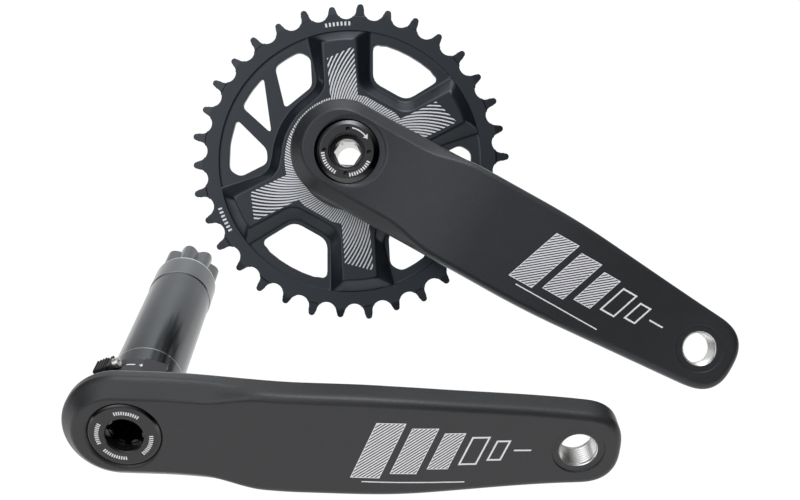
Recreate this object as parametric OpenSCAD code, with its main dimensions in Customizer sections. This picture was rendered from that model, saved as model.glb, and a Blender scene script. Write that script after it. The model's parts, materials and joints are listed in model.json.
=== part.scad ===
// Bicycle crankset with a direct-mount chainring, its two halves lying apart as on a bench.
// Each half is drawn in its own frame: X along the arm to the pedal, Z out of the arm's face.

/* [Crank arms] */
// Spindle centre to pedal centre
arm_length = 170; // [155:2.5:180]
// Thickness of an arm
arm_t = 12; // [11.5:0.5:14]
// Radius of the arm's round end at the spindle
eye_r = 22; // [21.5:0.5:24]
// Distance that the round end is centred behind the spindle
eye_setback = 3; // [1:0.5:5]
// Half width of the arm at its belly
belly_half_w = 22.1; // [20:0.05:25]
// Spindle centre to the belly
belly_at = 80; // [60:5:100]
// Spindle centre to the bend where the taper starts
taper_at = 98; // [90:1:110]
// Length of that bend
taper_bend = 32; // [16:2:40]
// Half width of the arm at the pedal centre
pedal_end_r = 16.45; // [15:0.05:19]
// Squareness of the round end at the pedal, where 2 is a plain arc
end_square = 2.5; // [2:0.1:3]
// How far the arm bows outwards between spindle and pedal
arm_bow = 4; // [0:0.1:6]
// Spindle centre to the start of the bow
bow_start = 12; // [12:1:20]
// Spindle centre to the near end of the bow's height
bow_top_start = 66; // [60:1:80]
// Spindle centre to the far end of the bow's height
bow_top_end = 94; // [85:1:110]
// Spindle centre to the end of the bow
bow_end = 168; // [140:1:170]
// How far the wall around the spindle leans in at the face
eye_lean = 5.6; // [4:0.1:5.8]
// Depth of the leaning wall
eye_lean_depth = 6; // [4:0.5:7]
// Round along the top of the leaning wall
eye_round = 0.8; // [0.4:0.1:1]
// Round along the front edges of the arm
front_round = 2.2; // [1:0.1:3]
// Round along the back edges of the arm
back_round = 2; // [1:0.1:3]
// Spindle centre to where the leaning wall starts to fade
fade_start = 28; // [24:1:36]
// Length over which the leaning wall fades into the round edge
fade_length = 24; // [12:1:40]

/* [Pedal holes] */
// Radius of the threaded wall
pedal_hole_r = 7; // [6.8:0.05:7.2]
// Chamfer at both mouths
pedal_chamfer = 0.6; // [0.3:0.1:1]
// Radius of the washer seat
washer_seat_r = 10; // [9:0.5:11]
// Depth of the washer seat
washer_seat_depth = 0.6; // [0.3:0.1:1.2]

/* [Spindle] */
// Radius of the two bearing seats
seat_r = 14.5; // [14:0.05:15]
// Relief of the tube between the seats
tube_relief = 0.35; // [0.2:0.05:0.8]
// Radius of the tube's bore
spindle_bore_r = 11; // [10:0.25:11.5]
// Left arm's face to the end of the left seat
left_seat_end = 39.2; // [37:0.2:42]
// Left arm's face to the start of the right seat
right_seat_start = 106.3; // [98:0.5:110]
// Length of the right seat
right_seat_length = 15.2; // [12:0.2:18]
// Length of the lobed drive end
drive_length = 15; // [12:0.5:16]
// Number of lobes on the drive end
lobes = 8; // [6:1:10]
// Radius to the crest of the lobes
lobe_crest_r = 13.7; // [13.2:0.1:14]
// Radius of each lobe
lobe_r = 2.7; // [2.3:0.1:3]
// Radius between the lobes
lobe_root_r = 11.9; // [11.6:0.1:12.2]
// Radius of the tapped hole in the drive end
tapped_r = 8; // [7.5:0.1:8.5]
// Radius of the spindle where it is pressed into the left arm
press_r = 13; // [12.5:0.1:13.3]

/* [Left cap] */
// Radius of the cap and of the retaining ring
cap_r = 13.8; // [13.4:0.1:14]
// Thickness of the cap and of the retaining ring
cap_t = 5; // [4:0.2:6]
// Radius of the hole in the cap
cap_hole_r = 7.2; // [6.5:0.1:8]
// Width of the bevel around the cap
cap_bevel = 1; // [0.5:0.1:2]
// Drop of that bevel
cap_bevel_drop = 0.6; // [0.3:0.1:1.2]
// Bevel around the hole of the cap and of the retaining ring
cap_hole_bevel = 0.5; // [0.2:0.1:0.8]
// Width of the dish around the cap
dish_w = 1.4; // [0.8:0.1:1.5]
// Depth of the dish
dish_depth = 0.9; // [0.4:0.1:1.2]

/* [Preload ring] */
// Wall of the ring over the arm's spigot
preload_wall = 1.65; // [1.4:0.05:2.4]
// Thickness of the ring along the spindle
preload_t = 13.6; // [12:0.2:14]
// Radius of the arm's threaded spigot under the ring
spigot_r = 16; // [15.6:0.1:16.2]
// Length of that spigot
spigot_length = 7; // [5:0.5:7.5]
// Angle of the clamp lug round the ring
clamp_deg = 116.7; // [110:0.1:125]
// Slit to the far end of the clamp lug
clamp_length = 5.7; // [5:0.1:7]
// Height of the clamp lug above the ring
clamp_rise = 3.4; // [3.2:0.1:4.4]
// Front of the ring to the clamp lug
clamp_setback = 4.65; // [3:0.05:5.5]
// Length of the clamp lug along the spindle
clamp_span = 7; // [6:0.1:8]
// Thickness of the ear under the pinch bolt's head
ear_t = 1.2; // [1:0.1:1.6]
// Width of the slit in the ring
slit_w = 0.8; // [0.6:0.1:1.2]
// Height of the pinch bolt's axis above the ring
pinch_rise = 1.6; // [1.5:0.1:1.8]
// Radius of the pinch bolt
pinch_r = 1.25; // [1:0.05:1.4]
// Radius of its head
pinch_head_r = 2; // [1.8:0.1:2.2]
// Height of its head
pinch_head_h = 2.4; // [2:0.1:3]
// Radius of its hex socket
pinch_socket_r = 1.16; // [1:0.02:1.3]
// Depth of its hex socket
pinch_socket_depth = 1.5; // [1:0.1:1.8]
// Angle of the pointed finger tab
tab_deg = 57; // [50:1:62]
// Height of the tab's point above the ring
tab_rise = 1.4; // [0.8:0.1:2]
// Half width of the tab
tab_half_w = 3.4; // [2.5:0.1:4]
// Number of grip ribs in each bank
grip_ribs = 7; // [4:1:8]
// Width of a grip rib
rib_w = 1; // [0.6:0.1:1.2]
// Height of a grip rib
rib_h = 0.8; // [0.4:0.1:1]

/* [Chainring] */
// Number of teeth
teeth = 34; // [30:2:36]
// Pitch of the chain
chain_pitch = 12.7; // [12.7]
// Arm's face to the middle of the teeth
tooth_plane = 34.7; // [34:0.1:38]
// Thickness of the tooth ring
ring_t = 3.8; // [3.4:0.1:4]
// Thickness of a narrow tooth
narrow_t = 2.1; // [1.8:0.1:2.4]
// Thickness of a tooth at its tip
tip_t = 1.3; // [0.9:0.1:1.6]
// Radius of the seat between two teeth
tooth_seat_r = 4.6; // [4.2:0.1:4.8]
// Pitch circle to the floor of the seats
tooth_root = 3.75; // [3.6:0.05:4]
// Pitch circle to the tip of a wide tooth
wide_tip = 2.5; // [2.2:0.1:2.8]
// Pitch circle to the tip of a narrow tooth
narrow_tip = 3.6; // [3:0.1:3.9]
// Radius of a tooth's tip
tip_r = 1.5; // [1.2:0.05:1.6]
// Half width of a tooth at its foot
tooth_half_w = 3.1; // [2.8:0.05:3.2]
// Turn of the teeth against the star
tooth_phase = -0.8; // [-5:0.1:5]
// Pitch circle to the inner edge of the tooth ring
rim_w = 9; // [8:0.2:10]
// Step from the tooth ring down to the web
web_step = 0.5; // [0.3:0.1:0.8]
// Inner edge of the tooth ring to the windows
window_rim = 4.6; // [4:0.2:6]
// Rise of the star above the web
star_rise = 5.6; // [5:0.2:6.4]
// Thickness of the star's top
star_t = 3.2; // [2.6:0.2:4]
// Thickness of the star's hub
hub_t = 5.2; // [4.4:0.2:6]
// Radius of the star's hub at its top
star_hub_r = 31; // [30:0.5:32]
// Centre to the flat between two star arms
star_flat = 30.2; // [29.5:0.1:30.8]
// Run of the star's leaning walls
star_run = 4.5; // [4:0.1:5]
// Run of the leaning wall at a star arm's end
star_end_run = 5.3; // [4.5:0.1:6]
// Half the width of a side window's foot
window_foot_half = 8.7; // [7:0.1:10]
// Wall between the star's foot and the windows
window_wall = 2; // [1.5:0.1:3]
// Corner radius of the windows
window_corner = 2.4; // [1.6:0.1:3]

/* [Right arm boss] */
// Radius of the boss that carries the chainring
boss_r = 23; // [22:0.5:24]
// Height of the boss's straight foot
boss_foot = 9; // [7:0.5:10]
// Radius of the spigot that centres the chainring
ring_spigot_r = 16.5; // [16.3:0.1:16.7]
// How far that spigot stands out behind the chainring's hub
ring_spigot_rise = 5; // [4:0.5:6]
// Distance of the chainring bolts from the centre
ring_bolt_at = 20.7; // [20.5:0.1:21]
// Radius of the chainring bolts
ring_bolt_r = 2; // [1.5:0.25:2.25]

/* [Crank bolt] */
// Width across the flats of the hex socket
hex_af = 10; // [8:1:10]
// Depth of the hex socket
hex_depth = 9; // [7:0.5:12]
// Radius of the hole through the bolt
bolt_hole_r = 5.5; // [4:0.1:6]
// Radius of the bolt's head
bolt_head_r = 9.8; // [9.4:0.1:10.2]
// Height of the bolt's head
bolt_head_h = 7; // [5:0.5:8]
// Radius of the bolt's threaded shank
bolt_shank_r = 7.6; // [7:0.1:7.8]
// Length of that shank
bolt_shank = 18; // [14:0.5:20]
// Radius of the hole in the retaining ring
retainer_hole_r = 7.4; // [7:0.1:8]
// Width of the bevel around the retaining ring
retainer_bevel = 2.4; // [1.5:0.1:2.6]
// Drop of that bevel
retainer_bevel_drop = 1.3; // [0.6:0.1:1.6]
// Radius of the retaining ring's pin holes
pin_hole_r = 0.8; // [0.6:0.1:1]
// Depth of the pin holes
pin_hole_depth = 2.4; // [1.5:0.1:3.5]
// How far the dish around the retaining ring is off centre
ring_dish_shift = 2; // [0:0.1:2.4]
// Width of that dish
ring_dish_w = 2.2; // [1:0.1:2.4]
// Depth of that dish
ring_dish_depth = 0.8; // [0.4:0.1:1]

/* [Layout] */
// Left arm's face centre to the right arm's face centre, along the left arm
right_x = 77.2; // [70:0.1:90]
// The same distance along the spindle
right_y = 91.8; // [90:0.1:120]
// The same distance upwards
right_z = 82.2; // [80:0.1:110]
// How far the right half leans back
right_lean = 27.6; // [20:0.1:32]
// How far the right half turns about the upright
right_yaw = -1.4; // [-4:0.1:4]
// How far the right arm turns about its own spindle hole
right_turn = -26.5; // [-32:0.1:-20]

/* [Hidden] */
// Gap of a running or a threaded fit, on the radius
run_gap = 0.05;
// Gap between two pieces that move past each other
move_gap = 0.35;
// Gap of a pressed joint, on the radius
press_gap = 0.02;
// How far a cutting tool runs past a face
past = 0.5;

// Places along the spindle, as depths behind the left arm's face
preload_front = arm_t + move_gap;
preload_back = preload_front + preload_t;
left_seat_start = preload_back + past;
left_seat_mid = (left_seat_start + left_seat_end) / 2;
right_seat_end = right_seat_start + right_seat_length;
spindle_end = right_seat_end + drive_length;
spindle_start = cap_t + move_gap;
shoulder_at = arm_t + spigot_length;
spindle_web_end = arm_t;
tube_r = seat_r - tube_relief;
preload_r = spigot_r + move_gap + preload_wall;

// Heights of the chainring, in the right half's frame
ring_front = -tooth_plane + ring_t / 2;
ring_back = -tooth_plane - ring_t / 2;
web_front = ring_front - web_step;
web_back = ring_back + web_step;
star_top = web_front + star_rise;
hub_back = star_top - hub_t;
boss_end = hub_back - ring_spigot_rise;

// Heights of the crank bolt's stack, in the right half's frame
seal_t = 1.2;
washer_t = 1;
bolt_top = -cap_t - seal_t;
head_back = bolt_top - bolt_head_h;
bolt_seat = head_back - washer_t;
bolt_shoulder_t = 3;
socket_floor = bolt_seat - bolt_shoulder_t;

// Radii of the chainring
pitch_r = chain_pitch / (2 * sin(180 / teeth));
rim_r = pitch_r - rim_w;
window_r = rim_r - window_rim;

$fn = 64;

// Shapes that repeat

function smooth(t) = let (c = min(max(t, 0), 1)) c * c * (3 - 2 * c);
function polar(r, a) = [r * cos(a), r * sin(a)];
function mix(a, b, t) = a + (b - a) * t;
function lift(outline, z) = [for (p = outline) [p[0], p[1], z]];
function backwards(list) = [for (i = [len(list) - 1:-1:0]) list[i]];

// How far a quarter round of radius r stands back at depth d below its edge
function round_in(d, r) = d < r ? r - sqrt(r * r - (r - d) * (r - d)) : 0;

// A curve that cuts the corner at b, from the side towards a over to the side towards c
function bend(a, b, c, reach, steps = 4) =
  let (p = b + reach * (a - b) / norm(a - b), q = b + reach * (c - b) / norm(c - b))
  [for (i = [0:steps]) let (t = i / steps) mix(mix(p, b, t), mix(b, q, t), t)];

// An outline with every corner cut by such a curve
function bent(corners, reach) =
  let (n = len(corners))
  [for (i = [0:n - 1]) each bend(corners[(i + n - 1) % n], corners[i], corners[(i + 1) % n], reach)];

// The walls between rings of points, from the top ring down
function walls(count, n) = [
  for (k = [0:count - 2], i = [0:n - 1])
    let (a = k * n + i, b = k * n + (i + 1) % n) each [[a, b, b + n], [a, b + n, a + n]]
];

// A cylinder from height top down to height bottom
module post(r, top, bottom) translate([0, 0, bottom]) cylinder(r = r, h = top - bottom);

// The chamfered mouth of a hole that opens upwards at height top
module mouth(r, width, depth, top) {
  translate([0, 0, top - depth])
    cylinder(r1 = r, r2 = r + width * (depth + past) / depth, h = depth + past);
}

// A flat tube between two heights
module tube(outer, inner, top, bottom) {
  difference() {
    post(outer, top, bottom);
    post(inner, top + past, bottom - past);
  }
}

// Round lobes about the axis, as on the spindle's drive end
module lobed(gap = 0) {
  circle(r = lobe_root_r + gap);
  for (i = [0:lobes - 1])
    rotate(360 * i / lobes) translate([lobe_crest_r - lobe_r, 0]) circle(r = lobe_r + gap);
}

// Crank arms

eye_steps = 14;
end_steps = 12;
side_steps = 28;
round_steps = 3;

arm_depths = concat(
  [for (i = [0:round_steps]) front_round * (1 - cos(90 * i / round_steps))],
  [eye_lean_depth],
  [for (i = [round_steps:-1:0]) arm_t - back_round * (1 - cos(90 * i / round_steps))]
);

taper_slope = (belly_half_w - pedal_end_r) / (arm_length - taper_at);
taper_deg = atan(taper_slope);
end_arc_r = pedal_end_r * cos(taper_deg);
side_end = arm_length + end_arc_r * sin(taper_deg);

// Distance beyond a bend of the given length, counted from its middle and rising smoothly through it
function beyond(t, bend_length) =
  let (half = bend_length / 2) t < -half ? 0 : t > half ? t : (t + half) * (t + half) / (4 * half);

function arm_half_w(x) =
  mix(eye_r, belly_half_w, smooth(x / belly_at)) - taper_slope * beyond(x - taper_at, taper_bend);

// Height at x and depth d below the arm's face, with the bow between spindle and pedal
function arm_height(x, d) =
  let (
    rise = smooth((x - bow_start) / (bow_top_start - bow_start)),
    fall = smooth((x - bow_top_end) / (bow_end - bow_top_end))
  )
  rise * (1 - fall) * arm_bow - d;

// How far the arm's outline stands back at x and depth d
function arm_inset(x, d) =
  let (
    eye_share = 1 - smooth((x - fade_start) / fade_length),
    eye_wall = eye_lean * max(0, 1 - d / eye_lean_depth) + round_in(d, eye_round)
  )
  mix(round_in(d, front_round), eye_wall, eye_share) + round_in(arm_t - d, back_round);

// Reach at angle a of a rounded square with half width 1
function squared(a, power) = pow(pow(abs(cos(a)), power) + pow(abs(sin(a)), power), -1 / power);

function arm_side(d) = [
  for (i = [1:side_steps - 1])
    let (x = mix(-eye_setback, side_end, i / side_steps)) [x, arm_half_w(x) - arm_inset(x, d)]
];

function arm_outline(d) =
  let (
    side = arm_side(d),
    eye = eye_r - arm_inset(0, d),
    end = end_arc_r - arm_inset(arm_length, d),
    end_share = 1 - taper_deg / 90
  )
  concat(
    [for (i = [0:eye_steps]) [-eye_setback, 0] + polar(eye, 90 + 180 * i / eye_steps)],
    [for (p = side) [p[0], -p[1]]],
    [
      for (i = [0:end_steps])
        let (a = 180 * (i / end_steps - 0.5))
          [arm_length, 0] + polar(end * squared(a, end_square), a * end_share)
    ],
    backwards(side)
  );

// Strips across the arm that close its face, between points that mirror each other
function arm_cap(n) =
  let (tip = eye_steps / 2)
  [
    for (k = [0:n / 2 - 1])
      let (a = (tip - k + n) % n, b = (tip + k) % n, c = (tip - k - 1 + n) % n, d = (tip + k + 1) % n)
        each [if (c != d) [a, c, d], if (a != b) [a, d, b]]
  ];

module arm_blank() {
  rings = [for (d = arm_depths) [for (p = arm_outline(d)) [p[0], p[1], arm_height(p[0], d)]]];
  n = len(rings[0]);
  back = (len(rings) - 1) * n;
  face = arm_cap(n);
  polyhedron(
    [for (ring = rings) each ring],
    concat(face, walls(len(rings), n), [for (f = face) [back + f[0], back + f[2], back + f[1]]]),
    convexity = 6
  );
}

module pedal_hole() {
  translate([arm_length, 0, 0]) {
    post(pedal_hole_r, past, -arm_t - past);
    post(washer_seat_r, past, -washer_seat_depth);
    mouth(pedal_hole_r, pedal_chamfer, pedal_chamfer, -washer_seat_depth);
    translate([0, 0, -arm_t]) mirror([0, 0, 1]) mouth(pedal_hole_r, pedal_chamfer, pedal_chamfer, 0);
  }
}

// The round seat of a cap or ring in the arm's face, with the dish around it
module cap_seat(width, depth, shift) {
  post(cap_r + run_gap, past, -cap_t);
  translate([shift[0], shift[1], 0]) mouth(cap_r + run_gap, width, depth, 0);
}

// A bevelled disc that fills such a seat, with a hole
module cap_disc(hole_r, bevel, drop) {
  rotate_extrude() polygon([
    [hole_r, -cap_t], [cap_r, -cap_t], [cap_r, -drop], [cap_r - bevel, 0], [hole_r + cap_hole_bevel, 0],
    [hole_r, -cap_hole_bevel]
  ]);
}

// Left half

module place_left() translate([0, -left_seat_mid, 0]) rotate([90, 0, 0]) children();

module left_arm() {
  color([0.19, 0.19, 0.2]) place_left() difference() {
    union() {
      arm_blank();
      post(spigot_r, -arm_t + past, -arm_t - spigot_length);
    }
    cap_seat(dish_w, dish_depth, [0, 0]);
    post(press_r + press_gap, 0, -arm_t - spigot_length - past);
    pedal_hole();
  }
}

// The toothed mouth at the spindle's left end
mouth_gap = 0.6;
mouth_tooth_r = 2.2;
mouth_tooth_at = cap_hole_r + 1;

module spindle_mouth() {
  difference() {
    circle(r = cap_hole_r + mouth_gap);
    for (i = [0:lobes - 1])
      rotate(360 * (i + 0.5) / lobes) translate([mouth_tooth_at, 0]) circle(r = mouth_tooth_r);
  }
}

module spindle() {
  color([0.2, 0.21, 0.22]) place_left() difference() {
    union() {
      rotate_extrude() polygon([
        [0, -spindle_start], [press_r, -spindle_start], [press_r, -shoulder_at], [seat_r, -shoulder_at],
        [seat_r, -left_seat_start + 2 * past], [tube_r, -left_seat_start + 2 * past],
        [tube_r, -left_seat_start],
        [seat_r, -left_seat_start], [seat_r, -left_seat_end], [tube_r, -left_seat_end],
        [tube_r, -right_seat_start], [seat_r, -right_seat_start], [seat_r, -right_seat_end + past],
        [seat_r - past, -right_seat_end], [0, -right_seat_end]
      ]);
      translate([0, 0, -spindle_end]) linear_extrude(drive_length + past) lobed();
    }
    post(spindle_bore_r, -spindle_web_end, -right_seat_start);
    post(tapped_r, -right_seat_start + past, -spindle_end - past);
    translate([0, 0, -spindle_web_end - past]) linear_extrude(spindle_web_end) spindle_mouth();
  }
}

module left_cap() {
  color([0.09, 0.09, 0.1]) place_left() cap_disc(cap_hole_r, cap_bevel, cap_bevel_drop);
}

// Preload ring on the left arm's spigot

seal_r = 0.9;
seal_at = shoulder_at + 3.4;
seal_groove_half = 1.4;

module preload_seal() {
  color([0.05, 0.05, 0.05]) place_left() translate([0, 0, -seal_at])
    rotate_extrude() translate([seat_r + run_gap + seal_r, 0]) circle(r = seal_r);
}

clamp_front = preload_front + clamp_setback;
clamp_back = clamp_front + clamp_span;
clamp_root = 2.5;
clamp_ribs = 4;
clamp_rib_step = 1.2;
clamp_rib_w = 0.6;
clamp_rib_h = 0.4;
head_seat = slit_w / 2 + ear_t;

// The frame of the pinch bolt: Z runs along the bolt towards its head
module at_pinch() {
  rotate(clamp_deg)
    translate([preload_r + pinch_rise, 0, -(clamp_front + clamp_back) / 2]) rotate([90, 0, 0]) children();
}

rib_margin = 1;
grip_step_deg = 5.4;
grip_starts_deg = [12, 190, 280];

module grip_banks() {
  for (start = grip_starts_deg, i = [0:grip_ribs - 1])
    rotate(start + grip_step_deg * i) translate([preload_r - past, -rib_w / 2, -preload_back + rib_margin])
      cube([past + rib_h, rib_w, preload_t - 2 * rib_margin]);
}

tab_root = 2;
tab_setback = 3;

module finger_tab() {
  translate([0, 0, -preload_back]) linear_extrude(preload_t - tab_setback) rotate(tab_deg) polygon([
    [preload_r - tab_root, -tab_half_w], [preload_r + tab_rise, -tab_half_w / 2],
    [preload_r - tab_root / 2, 2 * tab_half_w], [preload_r - tab_root, tab_half_w]
  ]);
}

module clamp_lug() {
  rotate(clamp_deg) {
    translate([preload_r - clamp_root, -head_seat, -clamp_back])
      cube([clamp_root + clamp_rise, head_seat + clamp_length, clamp_span]);
    for (i = [1:clamp_ribs])
      translate([preload_r + clamp_rise - past, clamp_rib_step * i, -clamp_back])
        cube([past + clamp_rib_h, clamp_rib_w, clamp_span]);
  }
}

preload_chamfer = 0.8;

module preload_ring() {
  color([0.11, 0.11, 0.12]) place_left() difference() {
    union() {
      rotate_extrude() polygon([
        [seat_r, -preload_back], [preload_r - preload_chamfer, -preload_back],
        [preload_r, -preload_back + preload_chamfer], [preload_r, -preload_front], [seat_r, -preload_front]
      ]);
      clamp_lug();
      finger_tab();
      grip_banks();
    }
    post(seat_r + move_gap, 0, -preload_back - past);
    post(spigot_r + move_gap, 0, -shoulder_at - move_gap);
    translate([0, 0, -seal_at])
      tube(seat_r + 2 * seal_r + run_gap + move_gap, seat_r - past, seal_groove_half, -seal_groove_half);
    rotate(clamp_deg) translate([0, -slit_w / 2, -preload_back - past])
      cube([preload_r + clamp_rise + 2 * past, slit_w, preload_t + 2 * past]);
    at_pinch() {
      post(pinch_r + run_gap, head_seat + past, -clamp_length - past);
      post(pinch_head_r + move_gap, head_seat + pinch_head_h + clamp_length, head_seat);
    }
  }
}

module preload_pinch_bolt() {
  head_top = head_seat + pinch_head_h;
  color([0.8, 0.8, 0.8]) place_left() at_pinch() difference() {
    union() {
      post(pinch_r, head_seat + pinch_head_h / 2, -clamp_length + past);
      post(pinch_head_r, head_top, head_seat + run_gap);
    }
    translate([0, 0, head_top - pinch_socket_depth])
      cylinder(r = pinch_socket_r, h = pinch_socket_depth + past, $fn = 6);
  }
}

// Right half

module place_right() {
  translate([right_x, right_y - left_seat_mid, right_z])
    rotate([90 - right_lean, 0, right_yaw]) rotate(right_turn) children();
}

// How far the boss runs into the arm's back
boss_sink = 1;
ring_bolt_end = star_top + boss_foot - 2;

module right_arm() {
  color([0.19, 0.19, 0.2]) place_right() difference() {
    union() {
      arm_blank();
      post(boss_r, star_top + boss_foot, star_top);
      translate([0, 0, star_top + boss_foot])
        cylinder(r1 = boss_r, r2 = eye_r - back_round - past, h = boss_sink - arm_t - star_top - boss_foot);
      post(ring_spigot_r, star_top + past, boss_end);
    }
    cap_seat(ring_dish_w, ring_dish_depth, polar(ring_dish_shift, -right_turn));
    post(bolt_head_r + move_gap, -cap_t + past, bolt_seat);
    post(bolt_shank_r + move_gap, 0, socket_floor);
    translate([0, 0, boss_end - past]) linear_extrude(socket_floor - boss_end + past) lobed(run_gap);
    chainring_bolt_places() post(ring_bolt_r + press_gap, ring_bolt_end + boss_sink, star_top - past);
    pedal_hole();
  }
}

module retaining_ring() {
  pin_hole_at = (retainer_hole_r + cap_r - retainer_bevel) / 2;
  color([0.09, 0.09, 0.1]) place_right() difference() {
    cap_disc(retainer_hole_r, retainer_bevel, retainer_bevel_drop);
    for (i = [0:3])
      rotate(90 * i - right_turn) translate([pin_hole_at, 0, 0]) post(pin_hole_r, past, -pin_hole_depth);
  }
}

head_chamfer_w = 1.5;
head_chamfer_h = 1;
hex_chamfer_w = 1.2;
hex_chamfer_h = 0.8;

module crank_bolt() {
  shank_end = head_back - bolt_shank;
  color([0.7, 0.7, 0.7]) place_right() difference() {
    rotate_extrude() polygon([
      [0, bolt_top], [bolt_head_r - head_chamfer_w, bolt_top], [bolt_head_r, bolt_top - head_chamfer_h],
      [bolt_head_r, head_back], [bolt_shank_r, head_back], [bolt_shank_r, shank_end], [0, shank_end]
    ]);
    translate([0, 0, bolt_top - hex_depth]) rotate(-right_turn)
      cylinder(d = hex_af / cos(30), h = hex_depth + past, $fn = 6);
    mouth(hex_af / 2, hex_chamfer_w, hex_chamfer_h, bolt_top);
    post(bolt_hole_r, bolt_top - hex_depth + past, shank_end - past);
  }
}

module bolt_washer() {
  color([0.6, 0.6, 0.6]) place_right() tube(bolt_head_r, bolt_shank_r + move_gap, head_back, bolt_seat);
}

seal_setback = 0.6;

module bolt_seal() {
  color([0.05, 0.05, 0.05]) place_right()
    tube(bolt_head_r + move_gap - press_gap, retainer_hole_r + seal_setback, -cap_t, bolt_top + move_gap);
}

// Chainring

// Angles of a star arm's two corners from the crank arm, at the star's top and at its foot
near_corner_deg = [47.2, 41.5];
far_corner_deg = [64, 69];
crotch_deg = [41, 38];
crotch_x = [12, 9.6];
// How far the hub swells before a crotch, and where its round ends
crotch_rise = 2.6;
hub_end_deg = 28;
// Reach of the bends in the crotches beside the crank arm and across from it
crotch_reach = [4, 5];

// One quarter of the star's outline, at its top for level 0 and at its foot for level 1
function star_quarter(level) =
  let (
    hub = star_hub_r + star_run * level,
    flat = star_flat + star_run * level,
    end = rim_r - star_end_run * (1 - level),
    crotch = polar(hub + crotch_rise, crotch_deg[level]),
    near = near_corner_deg[level],
    far = far_corner_deg[level]
  )
  concat(
    [for (a = [0:5:25]) polar(hub, a)],
    bend(polar(hub, hub_end_deg), crotch, polar(end, near), crotch_reach[0]),
    [for (i = [0:4]) polar(end, mix(near, far, i / 4))],
    bend(polar(end, far), [crotch_x[level], flat], [0, flat], crotch_reach[1])
  );

function star_outline(level) =
  let (
    quarter = star_quarter(level),
    half = concat(quarter, [for (p = backwards(quarter)) [-p[0], p[1]]])
  )
  concat(half, [for (i = [1:len(half) - 2]) -half[i]]);

module star() {
  top = star_outline(0);
  foot = star_outline(1);
  rings = [lift(top, star_top), lift(foot, web_front), lift(foot, web_back)];
  n = len(rings[0]);
  top_centre = 3 * n;
  back_centre = top_centre + 1;
  polyhedron(
    concat([for (ring = rings) each ring], [[0, 0, star_top], [0, 0, web_back]]),
    concat(
      walls(3, n),
      [for (i = [0:n - 1]) [top_centre, (i + 1) % n, i]],
      [for (i = [0:n - 1]) [back_centre, 2 * n + i, 2 * n + (i + 1) % n]]
    ),
    convexity = 6
  );
}

// The hollows behind the star's arms, with the angles of their corners at the hub and at the rim
pocket_wall = 3;
pocket_near_deg = [47, 50];
pocket_far_deg = [63, 61];
pocket_reach = 2.5;

module star_pockets() {
  inner = star_hub_r + pocket_wall;
  outer = rim_r - star_end_run - pocket_wall;
  corners = [
    polar(inner, pocket_near_deg[0]), polar(outer, pocket_near_deg[1]), polar(outer, pocket_far_deg[1]),
    polar(inner, pocket_far_deg[0])
  ];
  for (x = [0, 1], y = [0, 1])
    mirror([x, 0, 0]) mirror([0, y, 0]) translate([0, 0, web_back - past])
      linear_extrude(star_top - star_t - web_back + past) polygon(bent(corners, pocket_reach));
}

tooth_foot = 3;

module tooth(tip) {
  tip_at = pitch_r + tip - tip_r;
  foot_at = pitch_r - tooth_foot;
  polygon([[foot_at, -tooth_half_w], [tip_at, -tip_r], [tip_at, tip_r], [foot_at, tooth_half_w]]);
  translate([tip_at, 0]) circle(r = tip_r);
}

// Half of the teeth, every other one
module tooth_set(tip, first) {
  for (i = [first:2:teeth - 1])
    rotate(180 + tooth_phase + 360 * i / teeth) tooth(tip);
}

module tooth_seats() {
  for (i = [0:teeth - 1])
    rotate(180 + tooth_phase + 360 * (i + 0.5) / teeth)
      translate([pitch_r - tooth_root + tooth_seat_r, 0]) circle(r = tooth_seat_r);
}

// The space that the teeth are turned from, thinning towards the tips
rim_lap = 1;
thin_start = 1.5;
tooth_land = 2.4;

module tooth_blank(thick) {
  inner = rim_r - rim_lap;
  outer = pitch_r + narrow_tip + rim_lap;
  thin = pitch_r - thin_start;
  translate([0, 0, -tooth_plane]) rotate_extrude() polygon([
    [inner, -thick / 2], [thin, -thick / 2], [outer, -tip_t / 2], [outer, tip_t / 2], [thin, thick / 2],
    [inner, thick / 2]
  ]);
}

module tooth_ring() {
  intersection() {
    translate([0, 0, ring_back - past]) linear_extrude(ring_t + 2 * past) difference() {
      union() {
        circle(r = pitch_r - tooth_land);
        tooth_set(wide_tip, 1);
      }
      tooth_seats();
    }
    tooth_blank(ring_t);
  }
  intersection() {
    translate([0, 0, ring_back - past]) linear_extrude(ring_t + 2 * past) difference() {
      tooth_set(narrow_tip, 0);
      tooth_seats();
    }
    tooth_blank(narrow_t);
  }
}

// Windows above and below the hub, between two star arms
window_outer_deg = 18.5;
window_arc_deg = 12;
window_reach = 4;

module side_window() {
  low = star_flat + star_run + window_wall;
  foot = [window_foot_half, low];
  other = [-window_foot_half, low];
  side = polar(window_r, 90 - window_outer_deg);
  other_side = polar(window_r, 90 + window_outer_deg);
  top = [0, window_r];
  polygon(concat(
    bend(other, foot, side, window_reach),
    bend(foot, side, top, window_reach),
    [for (a = [-window_arc_deg:window_arc_deg / 2:window_arc_deg]) polar(window_r, 90 + a)],
    bend(top, other_side, other, window_reach),
    bend(other_side, other, foot, window_reach)
  ));
}

// The three windows of a truss, which leave two slanting struts between them
module truss_windows() {
  near_r = star_hub_r + star_run + 1.8;
  polygon(bent([
    polar(window_r, 158), polar(near_r + 1, 170.5), polar(near_r + 1, 146.5), polar(window_r - 4.5, 140.4),
    polar(window_r, 144.3), polar(window_r, 151)
  ], window_corner));
  polygon(bent([
    polar(window_r, 165.2), polar(window_r, 174), polar(window_r, 182.7), polar(near_r + 0.8, 190)
  ], window_corner));
  polygon(bent([
    polar(window_r, 189.2), polar(window_r, 201), polar(window_r, 213.5), polar(window_r - 4.8, 217.6),
    polar(near_r + 0.4, 211), polar(near_r + 1, 201.5)
  ], window_corner));
}

module chainring_bolt_places() {
  for (i = [0:2])
    rotate(90 + 120 * i) translate([ring_bolt_at, 0, 0]) children();
}

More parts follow.
